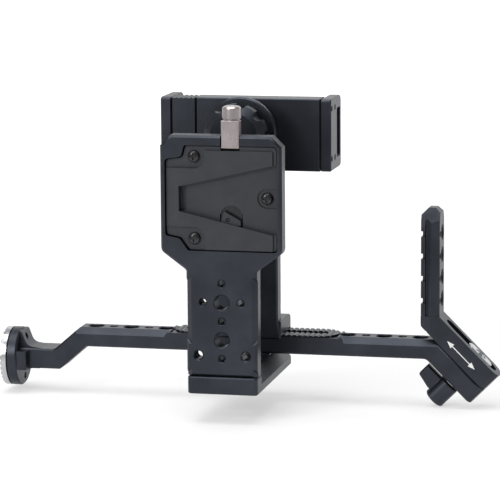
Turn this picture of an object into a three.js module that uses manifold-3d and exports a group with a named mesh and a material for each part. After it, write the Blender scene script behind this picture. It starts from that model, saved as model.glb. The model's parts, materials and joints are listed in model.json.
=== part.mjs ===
// Camera rig. A base plate carries a battery bracket at the front and, behind it, a post with a
// turning device clamp. A crossbar slides through the foot of the post. It has a toothed rosette
// on its left end and a sliding rail bracket on the angled plate at its right end.
// Millimetres, +X right, +Y to the rear, +Z up. The origin is the centre of the base's underside.
// Every piece is drawn with y = 0 on the bracket's front face and shifted with the rig at the end.
import * as THREE from 'three';
import { mergeVertices } from 'three/addons/utils/BufferGeometryUtils.js';
import Module from 'manifold-3d';

const wasm = await Module();
wasm.setup();

// ---------------------------------------------------------------- driving dimensions
const seat = 0.3;        // gap between faces that rest on each other
const slip = 0.3;        // side clearance of everything that slides or turns
const through = 1;       // how far a cutter reaches past the face it opens
const skim = 0.01;       // keeps a cutter's face off the face beside it
const headSink = 0.4;    // depth of a screw head below the face it is sunk in

const base = { width: 38, depth: 88, height: 9.5, corner: 2.5, edge: 0.6 };
const baseChamfer = { width: 6.4, sideFace: 4.3, start: 10.4 };
const baseThread = { smallRadius: 2.9, smallAt: 22, largeRadius: 4.5, largeAt: 33 };
const land = { halfWidth: 12, height: 1.1, inset: 1 };

const column = { halfWidth: 19, height: 127.4, thickness: 10, edge: 1.2 };
const columnChamfer = { size: 2.8, from: 27, to: 63, footTo: 14 };
const columnHole = { large: 4, small: 1.9, first: 9.5, pitch: 10, rows: 5, sideOffset: 10.2, mouth: 0.5 };
const lowHole = { radius: 2.3, offset: 12.8, height: 11.1, countersink: 0.7 };
const head = { halfWidth: 32.5, sideFrom: 76, shoulderFrom: 66, topCorner: 5.6, lowerCorner: 4 };
const bracketScrew = { offset: 9, shank: 2, head: 3.5, headHeight: 3.4, engaged: 7, key: 1.7 };

const plate = { width: 59, height: 54.6, thickness: 6.8, corner: 2, edge: 0.4, gap: 0.5, drop: 5.7 };
const step = { width: 10.4, height: 6.8, blend: 3, tabDrop: 2, tabRadius: 6.2 };
const border = { depth: 1.1, top: 2.1, side: 1.8, from: -8.5 };
const wedge = { depth: 3.2, wideHalf: 18.2, narrowHalf: 6.5, endInset: 7, mouth: 2.2, drop: 0.4 };
const wedgeSlot = { depth: 4.6, width: 3.4 };
const scoop = { depth: 1.6, rimInset: 8 };
const sinkHole = { radius: 5.2, depth: 4.1, inset: 5.4, lift: 0.6 };
const plateScrew = { head: 3.2, headHeight: 2, shank: 1.3, bore: 1.65, tip: 8.9 };
const plateScrewInset = { side: 15, low: 6, top: 5.4 };
const crossRecess = { half: 2, width: 0.9, depth: 1.1 };

const button = { centre: 5, width: 9.6, front: 1.2, skin: 0.9, overlap: 1, travel: 3 };
const cap = { radius: 5, height: 6.4, neck: 0.9, top: 15.1, chamfer: 1 };
const strip = { thickness: 2.4, extraWidth: 1, tail: 1.5 };
const latch = { drop: 6.4, height: 7.6, half: 5.4, shoulder: 4.8, front: 1.4 };
const latchPinSize = { radius: 0.8, shift: 1.6, drop: 4.4 };
const spring = { wire: 0.6, front: 2.6, turns: 6 };

const bar = { front: 60, height: 10.4, depth: 17, chamfer: 3.4, edge: 0.9 };
const middle = { left: -44.5, right: 51, depth: 24, drop: 0.9, blend: 12, step: 1.1 };
const leftArm = { end: -130, bend: -91.5, drop: 12.6, deeper: 0.8, slope: 41, fillet: 4 };
const pad = { left: -42.9, right: 49.5, depth: 21, rise: 1.1, toothPitch: 3, toothDepth: 0.7 };
const barSlot = { left: -37, right: 43, width: 6 };
const armHole = { large: 4.3, small: 2.2, count: 5, pitch: 10, fromRight: 54.4, fromLeft: -47.6, mouth: 0.5 };

const rosette = { radius: 16.3, cheek: 5.6, ring: 3.6, bore: 3.4, teeth: 32, toothDepth: 1.1, drop: 0.7 };
const rosetteLand = { depth: 1.2, inner: 0.52, outer: 0.56 };
const rosetteScrew = { offset: 11.6, lean: 1.5, shank: 1, head: 1.7, bore: 1.9, headHeight: 2.2 };
const bush = { outer: 3, inner: 1.9, proud: 1.6, chamfer: 0.4, engaged: 3 };
const frontRib = { proud: 6.4, thickness: 5.4, run: 11.5 };

const post = { halfWidth: 17.4, thickness: 9, topRadius: 16, pivotHeight: 133, neck: 22, edge: 0.9 };
const foot = { half: 19, height: 7.2, lip: 1, flare: 14, skirt: 1.4, corner: 2.6 };
const postScrew = { offset: 8, shank: 2.5, head: 4.5, headHeight: 4.6, engaged: 5.2, key: 2.1 };

const wheel = { front: 30, face: 13.4, grip: 17, gripDepth: 11, lead: 4, neck: 13.5, hub: 9 };
const flange = { start: 46, radius: 19.6, thickness: 4, chamfer: 0.8 };
const bite = { count: 9, radius: 3.2, offset: 0.8, turn: 0.35 };
const pivot = { radius: 4, headRadius: 8, headHeight: 3, headDrop: 1, key: 2.5, wheelDepth: 6 };

const clamp = { left: -49.4, right: 45.3, height: 39.3, drop: 3, depth: 14, edge: 0.5 };
const jaw = { thickness: 6, depth: 28.5, corner: 3.2, edge: 0.6 };
const jawSlot = { width: 9, height: 27, centre: 21, corner: 1.5 };
const jawScrew = { head: 1.45, shank: 1.2, bore: 1.6, headHeight: 2, reach: 12, shortReach: 10, key: 0.7 };
const jawScrewInset = { low: 6.8, high: 5.2, front: 2.6, rear: 11.2 };
const grip = { width: 13.7, ridges: 5, pitch: 2.7, radius: 1.5, depth: 0.6 };
const rod = { radius: 2.5, reach: 46, spread: 26, socket: 5 };
const restPad = { thickness: 1.5, inset: 2.4, half: 15, corner: 2, edge: 0.3 };

const leg = { angle: 45, depth: 16.4, thickness: 11, plateAt: 87.8, end: 95.8, corner: 6.5, knee: 52.2 };
const legSlot = { start: 54.6, end: 92.6, width: 8.4, stepWidth: 6 };
const block = { length: 17, centre: 80.6, thickness: 7, proud: 0.3, edge: 0.4 };
const clampScrew = { head: 3.2, shank: 2.5, bore: 2.9, headDepth: 3, key: 1.7 };
const rail = { left: 95.6, right: 105.8, height: 92.9, bevel: 4.6, lead: 3.6, backLead: 2.6 };
const flangeSize = { thickness: 2.7, half: 8.1 };
const neckSize = { thickness: 0.7, half: 7.1 };
const ridgeSize = { at: 5.8, half: 8.4, backHalf: 7.5 };
const railSlot = { count: 4, first: 79, pitch: 12.1, height: 3, depth: 0.8, cut: 2.1 };
const railHole = { large: 3.8, small: 1.8, largeShift: 1.8, smallShift: -5.4, smallDepth: 5, mouth: 0.8 };
const knob = { radius: 5.8, bottom: 62.8, reach: 15.6, wing: 5, wingDrop: 8.6, wingEdge: 0.9, bore: 4 };
const washer = { radius: 4.3, thickness: 0.9 };

// ---------------------------------------------------------------- finishes
const anodised = { color: 0x34363c, roughness: 0.5, metalness: 0.75 };
const blackOxide = { color: 0x1c1c1e, roughness: 0.45, metalness: 0.8 };
const steel = { color: 0xbfc0c2, roughness: 0.3, metalness: 1 };
const brushedSteel = { color: 0xb3aaa8, roughness: 0.35, metalness: 1 };
const mouldedPlastic = { color: 0x2b2d31, roughness: 0.6, metalness: 0 };
const rubber = { color: 0x151515, roughness: 0.9, metalness: 0 };

// ---------------------------------------------------------------- stations that pieces share
const columnBottom = base.height + seat;
const bracketTop = columnBottom + column.height;
const plateTop = bracketTop - plate.drop;
const plateBottom = plateTop - plate.height;
const plateLeft = -plate.width / 2;
const plateRight = plate.width / 2;
const pocketFloor = plate.thickness + seat;
const wedgeAxis = (plateTop + plateBottom) / 2 - wedge.drop;
const wedgeEnd = plateLeft + wedge.endInset;

const buttonBack = pocketFloor - slip;
const stripFront = buttonBack - strip.thickness;
const stripHalf = button.width / 2 + strip.extraWidth;
const latchTop = wedgeAxis - latch.drop;
const latchBottom = latchTop - latch.height;
const stripBottom = latchBottom - strip.tail;

const barBottom = base.height + land.height + seat;
const barTop = barBottom + bar.height;
const barBack = bar.front + bar.depth;
const middleTop = barTop - middle.drop;
const middleBack = bar.front + middle.depth;
const padTop = middleTop + pad.rise;
const armAxis = bar.front + bar.depth / 2;
const middleAxis = bar.front + middle.depth / 2;

const postFront = bar.front - seat - foot.lip;
const postBack = postFront + post.thickness;
const footBack = middleBack + seat + foot.lip;
const footTop = padTop + seat + foot.height;
const footBottom = middleTop - foot.skirt;

const clampFront = postBack + seat;
const clampBack = clampFront + clamp.depth;
const clampAxis = post.pivotHeight - clamp.drop;
const clampBottom = clampAxis - clamp.height / 2;
const clampTop = clampAxis + clamp.height / 2;
const sliderLeft = clamp.left + jaw.thickness + seat;
const sliderRight = clamp.left + jaw.thickness + grip.width;
const bodyLeft = sliderRight + seat;
const bodyRight = clamp.right - jaw.thickness - seat;

const lowArmTop = barTop - leftArm.drop;
const lowArmBottom = barBottom - leftArm.drop - leftArm.deeper;
const rosetteAxis = lowArmTop - bar.height / 2 - rosette.drop;
const rosetteFace = leftArm.end - rosette.cheek;
const ringFace = rosetteFace - seat - rosette.ring;

// Along the angled plate s runs down the slope and t stands off it; y is shared with the rig.
const plateUnder = leg.plateAt - bar.height;
const legUnder = leg.plateAt + seat;
const legTop = legUnder + leg.thickness;
const blockTop = legTop + block.proud;
const legStep = blockTop - block.thickness - seat;
const washerTop = plateUnder - seat;
const knobTop = washerTop - washer.thickness - seat;

// ---------------------------------------------------------------- solids
function solid(geometry) {
  geometry.deleteAttribute('normal');
  geometry.deleteAttribute('uv');
  const merged = mergeVertices(geometry, 1e-5);
  const mesh = new wasm.Mesh({
    numProp: 3,
    vertProperties: new Float32Array(merged.attributes.position.array),
    triVerts: new Uint32Array(merged.index.array),
  });
  return new wasm.Manifold(mesh);
}

function cut(body, ...cutters) {
  return cutters.flat().reduce((rest, cutter) => rest.subtract(cutter), body);
}

function join(body, ...others) {
  return others.flat().reduce((whole, other) => whole.add(other), body);
}

function node(name, body, finish) {
  const { vertProperties, triVerts } = body.getMesh();
  const geometry = new THREE.BufferGeometry();
  geometry.setAttribute('position', new THREE.BufferAttribute(vertProperties, 3));
  geometry.setIndex(new THREE.BufferAttribute(triVerts, 1));
  geometry.computeVertexNormals();
  const mesh = new THREE.Mesh(geometry, new THREE.MeshStandardMaterial(finish));
  mesh.name = name;
  return mesh;
}

// An outline whose corners are [x, y] or [x, y, r], r being how far the rounding starts from them.
function outline(corners) {
  const shape = new THREE.Shape();
  corners.forEach(([x, y, r = 0], i) => {
    const here = new THREE.Vector2(x, y);
    const before = corners.at(i - 1);
    const after = corners[(i + 1) % corners.length];
    const toBefore = new THREE.Vector2(before[0], before[1]).sub(here).normalize();
    const toAfter = new THREE.Vector2(after[0], after[1]).sub(here).normalize();
    const half = Math.acos(THREE.MathUtils.clamp(toBefore.dot(toAfter), -1, 1)) / 2;
    const run = r / Math.tan(half);
    const start = here.clone().addScaledVector(toBefore, run);
    const end = here.clone().addScaledVector(toAfter, run);
    if (i === 0) shape.moveTo(start.x, start.y);
    else shape.lineTo(start.x, start.y);
    if (r > 0) shape.quadraticCurveTo(x, y, end.x, end.y);
  });
  shape.closePath();
  return shape;
}

function rectangle(x0, x1, y0, y1, r = 0) {
  return outline([[x0, y0, r], [x1, y0, r], [x1, y1, r], [x0, y1, r]]);
}

function oblong(x0, x1, y, width) {
  const r = width / 2;
  const shape = new THREE.Shape();
  shape.absarc(x1 - r, y, r, -Math.PI / 2, Math.PI / 2);
  shape.absarc(x0 + r, y, r, Math.PI / 2, Math.PI * 1.5);
  return shape;
}

function hexagon([x, y], radius) {
  const corners = Array.from({ length: 6 }, (_, i) => i * Math.PI / 3);
  return outline(corners.map((turn) => [x + radius * Math.cos(turn), y + radius * Math.sin(turn)]));
}

function disc(x, y, r) {
  const shape = new THREE.Shape();
  shape.absarc(x, y, r, 0, Math.PI * 2);
  return shape;
}

// Extrudes an outline drawn in the plane at right angles to the axis.
// Along y the outline's axes are x and z, along z they are x and y, along x they are y and z.
function extruded(axis, shape, from, to, edge = 0, curveSegments = 3) {
  const geometry = new THREE.ExtrudeGeometry(shape, {
    depth: to - from - 2 * edge,
    bevelEnabled: edge > 0,
    bevelThickness: edge,
    bevelSize: edge,
    bevelOffset: -edge,
    bevelSegments: 1,
    curveSegments,
  });
  geometry.translate(0, 0, edge);
  if (axis === 'z') geometry.translate(0, 0, from);
  if (axis === 'y') geometry.rotateX(Math.PI / 2).translate(0, to, 0);
  if (axis === 'x') {
    const turn = new THREE.Matrix4().set(0, 0, 1, from, 1, 0, 0, 0, 0, 1, 0, 0, 0, 0, 0, 1);
    geometry.applyMatrix4(turn);
  }
  return solid(geometry);
}

function prism(axis, corners, from, to) {
  return extruded(axis, outline(corners), from, to);
}

function brick(x0, x1, y0, y1, z0, z1) {
  const geometry = new THREE.BoxGeometry(Math.abs(x1 - x0), Math.abs(y1 - y0), Math.abs(z1 - z0));
  return solid(geometry.translate((x0 + x1) / 2, (y0 + y1) / 2, (z0 + z1) / 2));
}

// A closed profile of [radius, height] points turned about the axis through the given centre.
function turned(axis, profile, centre, segments = 32) {
  const points = profile.map(([r, h]) => new THREE.Vector2(r, h));
  if (THREE.ShapeUtils.area(points) < 0) points.reverse();
  if (points[0].x > 0) points.push(points[0].clone());
  const geometry = new THREE.LatheGeometry(points, segments);
  if (axis === 'x') geometry.rotateZ(-Math.PI / 2).translate(0, centre[0], centre[1]);
  if (axis === 'y') geometry.rotateX(Math.PI).scale(1, -1, -1).translate(centre[0], 0, centre[1]);
  if (axis === 'z') geometry.rotateX(Math.PI / 2).translate(centre[0], centre[1], 0);
  return solid(geometry);
}

// Facets of a round face: more on a large one than on a small one.
function facets(radius) {
  if (radius < 2) return 10;
  return radius < 3.2 ? 14 : 20;
}

function pin(axis, radius, from, to, centre, segments = facets(radius)) {
  return turned(axis, [[0, from], [radius, from], [radius, to], [0, to]], centre, segments);
}

// A bore with a 45 degree mouth at `face`, which looks along `sign`.
function countersunk(axis, radius, from, to, centre, face, sign, widening) {
  const lift = 0.2;
  const mouth = [[0, face - sign * widening], [radius, face - sign * widening],
    [radius + widening + lift, face + sign * lift], [0, face + sign * lift]];
  return pin(axis, radius, from, to, centre).add(turned(axis, mouth, centre, facets(radius)));
}

function angled(body) {
  return body.rotate([0, leg.angle, 0]);
}

// The rig's [x, z] of a point on the angled plate.
function level(s, t) {
  return [(s + t) * Math.SQRT1_2, (t - s) * Math.SQRT1_2];
}

// The rig's x at which a face standing t off the angled plate reaches the height z.
function slopeAt(t, z) {
  return t * Math.SQRT2 - z;
}

function repeated(count, make) {
  return Array.from({ length: count }, (_, i) => make(i));
}

function bothSides(make) {
  return [make(-1), make(1)];
}

// ---------------------------------------------------------------- base and battery bracket
function basePlate() {
  const half = base.width / 2;
  const body = extruded('z', rectangle(-half, half, 0, base.depth, base.corner), 0, base.height, base.edge);
  const chamfers = bothSides((side) => prism('y', [
    [side * (half - baseChamfer.width), base.height + skim],
    [side * (half + through), base.height + skim],
    [side * (half + through), baseChamfer.sideFace],
    [side * half, baseChamfer.sideFace],
  ], baseChamfer.start, base.depth + through));
  const guide = brick(-land.halfWidth, land.halfWidth, bar.front + land.inset, middleBack - land.inset,
    base.height - through, base.height + land.height);
  const bores = [
    ...bracketScrewPlaces().map((place) => screwBore(place, bracketScrew)),
    ...postScrewPlaces().map((place) => screwBore(place, postScrew)),
  ];
  const threads = [
    pin('z', baseThread.smallRadius, -through, base.height + through, [0, baseThread.smallAt]),
    pin('z', baseThread.largeRadius, -through, base.height + through, [0, baseThread.largeAt]),
  ];
  return node('base_plate', cut(join(cut(body, chamfers), guide), bores, threads), anodised);
}

function screwBore(place, screw) {
  const sink = pin('z', screw.head + slip, -through, headSink + screw.headHeight, place);
  return pin('z', screw.shank + slip, -through, base.height + land.height + through, place).add(sink);
}

// A socket head screw from below: its head hangs in the base's bore and its shank ends at `tip`.
function socketScrew(name, place, screw, tip) {
  const under = headSink + screw.headHeight - seat;
  const round = pin('z', screw.head, headSink, under, place);
  const body = join(round, pin('z', screw.shank, under - 1, tip, place));
  const key = extruded('z', hexagon(place, screw.key), -through, headSink + screw.headHeight / 2);
  return node(name, cut(body, key), blackOxide);
}

function bracketScrewPlaces() {
  return bothSides((side) => [side * bracketScrew.offset, column.thickness / 2]);
}

function postScrewPlaces() {
  return bothSides((side) => [side * postScrew.offset, middleAxis]);
}

function bracketOutline() {
  const right = [
    [column.halfWidth, columnBottom],
    [column.halfWidth, head.shoulderFrom, 2],
    [head.halfWidth, head.sideFrom, head.lowerCorner],
    [head.halfWidth, bracketTop - head.topCorner],
    [head.halfWidth - head.topCorner, bracketTop],
  ];
  const left = right.map(([x, z, r]) => [-x, z, r]).reverse();
  return outline([...right, ...left]);
}

// One row up the middle, alternating small and large, a small pair beside the fourth and a low pair.
function columnHoles() {
  const bore = (radius, x, z, mouth) => countersunk('y', radius, -through, column.thickness + through,
    [x, columnBottom + z], 0, -1, mouth);
  const { small, large, first, pitch, rows, sideOffset, mouth: widening } = columnHole;
  const middleRow = repeated(rows, (i) => bore(i % 2 ? large : small, 0, first + i * pitch, widening));
  const sides = bothSides((side) => bore(small, side * sideOffset, first + 3 * pitch, widening));
  const low = bothSides((side) => bore(lowHole.radius, side * lowHole.offset, lowHole.height,
    lowHole.countersink));
  return [...middleRow, ...sides, ...low];
}

// The column's front corners are chamfered along its holes and again at its foot; each chamfer runs
// out in a sloping facet.
function columnChamfers() {
  const c = columnChamfer.size + through;
  const { from, to, footTo } = columnChamfer;
  const low = columnBottom - 2 * c;
  const spans = [[from, to], [low, footTo]];
  return spans.flatMap(([z0, z1]) => bothSides((side) => {
    const corner = side * (column.halfWidth + through);
    const ends = prism('x', [[-through, z0 - through], [c, z0 + c], [c, z1 - c], [-through, z1 + through]],
      -head.halfWidth, head.halfWidth);
    return prism('z', [[corner - side * (c + through), -through], [corner, c], [corner, -through]],
      z0 - 2 * through, z1 + 2 * through).intersect(ends);
  }));
}

function plateOutline(grow) {
  const l = plateLeft - grow;
  const r = plateRight + grow;
  const b = plateBottom - grow;
  const t = plateTop + grow;
  const inner = l + step.width;
  return outline([
    [inner + 2, b, 1.5], [r, b, plate.corner], [r, t, plate.corner], [inner, t, 1.5],
    [inner - 1.5, t - step.height + 0.6, step.blend], [l, t - step.height - 0.6, 2],
    [l, b + step.height + 1, 2], [inner - 2.6, b + step.height - 0.4, step.blend],
  ]);
}

function batteryBracket() {
  const body = extruded('y', bracketOutline(), 0, column.thickness, column.edge);
  const pocket = extruded('y', plateOutline(plate.gap), -through, pocketFloor);
  const notchHalf = button.width / 2 + slip;
  const notch = brick(button.centre - notchHalf, button.centre + notchHalf, -through,
    pocketFloor, plateTop - through, bracketTop + through);
  const screws = plateScrewPlaces().map((place) => pin('y', plateScrew.bore, 0,
    column.thickness + through, place));
  const threads = bracketScrewPlaces().map((place) => pin('z', bracketScrew.shank + slip,
    columnBottom - through, columnBottom + bracketScrew.engaged + seat, place));
  const cutters = [columnChamfers(), pocket, notch, screws, threads, columnHoles()];
  return node('battery_bracket', cut(body, cutters.flat()), anodised);
}

// ---------------------------------------------------------------- battery plate
// Two screws on the left tabs and one at the end of the wedge recess, as [x, z, face depth].
function plateScrewPlaces() {
  return [
    [plateLeft + plateScrewInset.side, plateTop - plateScrewInset.top, step.tabDrop],
    [plateLeft + plateScrewInset.side, plateBottom + plateScrewInset.low, step.tabDrop],
    [plateRight - sinkHole.inset, wedgeAxis + sinkHole.lift, sinkHole.depth],
  ];
}

// The V recess a battery's wedge slides into, with a deeper slot across its blind end.
function wedgeRecess() {
  const slot = brick(wedgeEnd, wedgeEnd + wedgeSlot.width, -through, wedgeSlot.depth,
    wedgeAxis - wedge.narrowHalf, wedgeAxis + wedge.narrowHalf);
  const recess = prism('y', [
    [wedgeEnd, wedgeAxis - wedge.narrowHalf],
    [plateRight - wedge.mouth, wedgeAxis - wedge.wideHalf],
    [plateRight + through, wedgeAxis - wedge.wideHalf],
    [plateRight + through, wedgeAxis + wedge.wideHalf],
    [plateRight - wedge.mouth, wedgeAxis + wedge.wideHalf],
    [wedgeEnd, wedgeAxis + wedge.narrowHalf],
  ], -through, wedge.depth);
  return [recess, slot];
}

// The lower faces around the two left screws, curved about them and open to the plate's corners.
function tabRecesses() {
  const left = plateLeft - through;
  const r = step.tabRadius;
  return plateScrewPlaces().slice(0, 2).map(([x, z, face], i) => {
    const outward = i === 0 ? plateTop + through : plateBottom - through;
    const inward = i === 0 ? z - r : z + r;
    const sides = [brick(left, x + r, -through, face, z, outward), brick(left, x, -through, face, z, inward)];
    return join(pin('y', r, -through, face, [x, z], 36), sides);
  });
}

// A lower strip runs along the top edge and down the right one.
function borderStrips() {
  const top = brick(border.from, plateRight + through, -through, border.depth, plateTop - border.top,
    plateTop + through);
  const side = brick(plateRight - border.side, plateRight + through, -through, border.depth,
    plateBottom - through, plateTop + through);
  return top.add(side);
}

function batteryPlate() {
  const body = extruded('y', plateOutline(0), 0, plate.thickness, plate.edge);
  const rim = wedgeEnd - 0.6;
  const leftScoop = prism('z', [[plateLeft - through, -through], [rim, -through], [rim, skim],
    [plateLeft - through, scoop.depth]], plateBottom + scoop.rimInset, plateTop - scoop.rimInset);
  const [x, z] = plateScrewPlaces()[2];
  const screwSeat = join(pin('y', sinkHole.radius, -through, sinkHole.depth, [x, z], 32),
    brick(x, plateRight + through, -through, sinkHole.depth, z - sinkHole.radius, z + sinkHole.radius));
  const screws = plateScrewPlaces().map((place) => pin('y', plateScrew.bore, -through,
    plate.thickness + through, place));
  const cutters = [wedgeRecess(), tabRecesses(), borderStrips(), leftScoop, screwSeat, screws, releaseRoom()];
  return node('battery_plate', cut(body, cutters.flat()), mouldedPlastic);
}

// The space inside the battery plate for the button's bar and strip, the latch and their spring.
function releaseRoom() {
  const back = plate.thickness + through;
  const slab = (half, front, low, high) => brick(button.centre - half, button.centre + half, front, back,
    low, high);
  return [
    slab(stripHalf + slip, stripFront - slip, stripBottom - button.travel - slip, plateTop + through),
    slab(button.width / 2 + slip, button.skin, plateTop - button.overlap - button.travel - slip,
      plateTop + through),
    slab(stripHalf + slip, latch.front - slip, latchBottom - button.travel - slip, latchTop - latch.front),
    slab(stripHalf, spring.front, plateBottom - through, stripBottom),
    pin('y', stripHalf, latch.front - slip, back, [button.centre, latchTop - latch.half / 2], 32),
  ];
}

function plateScrews() {
  return plateScrewPlaces().map(([x, z, face], i) => {
    const top = face - seat - plateScrew.headHeight;
    const r = plateScrew.head;
    const panHead = turned('y', [[0, top], [r * 0.5, top + 0.05], [r * 0.78, top + 0.35],
      [r * 0.95, top + 0.9], [r, top + 1.4], [r, face - seat], [0, face - seat]], [x, z], 20);
    const { half, width, depth } = crossRecess;
    const cross = [
      brick(x - half, x + half, top - through, top + depth, z - width / 2, z + width / 2),
      brick(x - width / 2, x + width / 2, top - through, top + depth, z - half, z + half),
    ];
    const shank = pin('y', plateScrew.shank, top + depth, plateScrew.tip, [x, z]);
    return node(`battery_plate_screw_${i + 1}`, cut(join(panHead, shank), cross), blackOxide);
  });
}

// ---------------------------------------------------------------- release button and latch
function releaseButton() {
  const slab = (half, front, low, high) => brick(button.centre - half, button.centre + half,
    front, buttonBack, low, high);
  const capTop = bracketTop + cap.top;
  const capLow = capTop - cap.height;
  const flat = slab(button.width / 2, button.front, plateTop - button.overlap, capLow - cap.neck);
  const tongue = slab(stripHalf, stripFront, stripBottom, plateTop + plate.gap - seat);
  const round = turned('z', [
    [0, capLow - 2 * cap.neck], [cap.radius - cap.neck, capLow - 2 * cap.neck],
    [cap.radius - cap.neck, capLow],
    [cap.radius, capLow], [cap.radius, capTop - cap.chamfer], [cap.radius - cap.chamfer, capTop], [0, capTop],
  ], [button.centre, button.front + cap.radius - cap.chamfer / 2], 32);
  const pinHole = pin('y', latchPinSize.radius + slip, 0, pocketFloor, latchPinPlace());
  return node('release_button', cut(join(flat, tongue, round), pinHole), brushedSteel);
}

function latchPinPlace() {
  return [button.centre - latchPinSize.shift, latchTop - latchPinSize.drop];
}

function batteryLatch() {
  const x = button.centre;
  const tooth = outline([
    [x - latch.half, latchBottom], [x + latch.half, latchBottom],
    [x + latch.half, latchTop - latch.shoulder, 0.5],
    [x - 3.6, latchTop, 0.5], [x - latch.half, latchTop - latch.shoulder, 0.5],
  ]);
  const body = extruded('y', tooth, latch.front, stripFront - seat, 0.25);
  const pinHole = pin('y', latchPinSize.radius + slip, 0, stripFront, latchPinPlace());
  return node('battery_latch', cut(body, pinHole), mouldedPlastic);
}

function latchPin() {
  const body = pin('y', latchPinSize.radius, latch.front + slip, buttonBack - slip, latchPinPlace());
  return node('latch_pin', body, blackOxide);
}

class Helix extends THREE.Curve {
  constructor(radius, from, to, turns) {
    super();
    Object.assign(this, { radius, from, to, turns });
  }

  getPoint(t) {
    const angle = t * this.turns * Math.PI * 2;
    return new THREE.Vector3(this.radius * Math.cos(angle), this.radius * Math.sin(angle),
      this.from + (this.to - this.from) * t);
  }
}

function releaseSpring() {
  const inset = spring.wire / 2 + seat;
  const roomHalf = (pocketFloor - spring.front) / 2;
  const path = new Helix(roomHalf - slip - spring.wire / 2, plateBottom - plate.gap + inset,
    stripBottom - inset, spring.turns);
  const geometry = new THREE.ExtrudeGeometry(disc(0, 0, spring.wire / 2), {
    steps: spring.turns * 9, extrudePath: path, bevelEnabled: false, curveSegments: 3,
  });
  geometry.translate(button.centre, spring.front + roomHalf, 0);
  return node('release_spring', solid(geometry), steel);
}

// ---------------------------------------------------------------- crossbar
function crossbarOutline() {
  const slope = THREE.MathUtils.degToRad(leftArm.slope);
  const run = leftArm.drop / Math.tan(slope);
  const underRun = (leftArm.drop + leftArm.deeper) / Math.tan(slope);
  const mitre = bar.height * Math.tan(slope / 2);
  return outline([
    [leftArm.end, lowArmBottom], [leftArm.bend - underRun, lowArmBottom, 1.5], [leftArm.bend, barBottom, 1.5],
    [slopeAt(plateUnder, barBottom), barBottom, 4], level(leg.end, plateUnder), level(leg.end, leg.plateAt),
    [slopeAt(leg.plateAt, barTop), barTop, 1.5], [leftArm.bend - mitre, barTop, 1.5],
    [leftArm.bend - run - mitre, lowArmTop, leftArm.fillet], [leftArm.end, lowArmTop],
  ]);
}

function crossbarPlan() {
  const [tip] = level(leg.end, leg.plateAt);
  const left = leftArm.end - bush.engaged;
  return outline([
    [left, bar.front], [tip + through, bar.front], [tip + through, barBack], [middle.right, barBack, 6],
    [middle.right - middle.blend, middleBack, 6], [middle.left + middle.blend, middleBack, 6],
    [middle.left, barBack, 6], [left, barBack],
  ]);
}

// The arms' top edges are chamfered; each chamfer runs out at 45 degrees towards the middle.
function armChamfers() {
  const reach = bar.chamfer + through;
  const arms = [[leftArm.bend - 6, middle.left - bar.chamfer, 1],
    [middle.right + bar.chamfer, slopeAt(leg.plateAt, 12), -1]];
  const edges = [[bar.front, 1], [barBack, -1]];
  return arms.flatMap(([x0, x1, towards]) => {
    const [high0, high1] = towards > 0 ? [x0, x1 + reach] : [x0 - reach, x1];
    const ends = prism('y', [[x0, barTop - reach - skim], [x1, barTop - reach - skim],
      [high1, barTop + through + skim], [high0, barTop + through + skim]],
    bar.front - 2 * through, barBack + 2 * through);
    return edges.map(([y, inward]) => prism('x', [
      [y - inward * through, barTop - reach],
      [y + inward * reach, barTop + through],
      [y - inward * through, barTop + through],
    ], x0 - 2 * reach, x1 + 2 * reach).intersect(ends));
  });
}

function armHoles() {
  const places = [[armHole.fromRight, armHole.pitch], [armHole.fromLeft, -armHole.pitch]];
  return places.flatMap(([first, pitch]) => repeated(armHole.count, (i) => countersunk('z',
    i % 2 ? armHole.small : armHole.large, barBottom - through, barTop + through,
    [first + i * pitch, armAxis], barTop, 1, armHole.mouth)));
}

// What is cut off a plate's free end to leave rounded corners, drawn in the angled frame.
function endCorners(from, to, depth) {
  const front = armAxis - depth / 2 - skim;
  const back = armAxis + depth / 2 + skim;
  const start = leg.end - 2 * leg.corner;
  const kept = outline([[start - through, front], [leg.end, front, leg.corner], [leg.end, back, leg.corner],
    [start - through, back]]);
  const room = rectangle(start, leg.end + leg.corner, front - leg.corner, back + leg.corner);
  return angled(extruded('z', room, from - through, to + through)
    .subtract(extruded('z', kept, from - 2 * through, to + 2 * through)));
}

function serratedPad() {
  const y = middleAxis - 0.5;
  const body = extruded('z', oblong(pad.left, pad.right, y, pad.depth), middleTop - through, padTop, 0, 8);
  const grooves = repeated(Math.floor((pad.right - pad.left) / pad.toothPitch), (i) => {
    const x = pad.left + (i + 0.5) * pad.toothPitch;
    return prism('y', [[x, padTop - pad.toothDepth], [x + through, padTop + through - pad.toothDepth],
      [x - through, padTop + through - pad.toothDepth]], y - pad.depth, y + pad.depth);
  });
  return cut(body, grooves);
}

function rosetteBlend() {
  const left = leftArm.end - 0.5;
  const rim = rosetteAxis + rosette.radius;
  const web = outline([[left, lowArmTop - 1], [leftArm.end + 14, lowArmTop - 1],
    [leftArm.end + 12, lowArmTop + skim], [leftArm.end + 4, lowArmTop + 1, 5], [leftArm.end + 1, rim - 1.5],
    [left, rim - 1]]);
  const ribFront = bar.front - frontRib.proud;
  const ribRight = leftArm.end + frontRib.run;
  const rib = outline([[left, ribFront], [leftArm.end + frontRib.thickness, ribFront, 0.6],
    [leftArm.end + frontRib.thickness + 0.8, bar.front, 3], [ribRight, bar.front + skim],
    [ribRight, bar.front + 3], [left, bar.front + 3]]);
  return [
    extruded('y', web, bar.front + 1.5, barBack - 1.5),
    extruded('z', rib, lowArmBottom, lowArmTop - 0.8),
  ];
}

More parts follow.
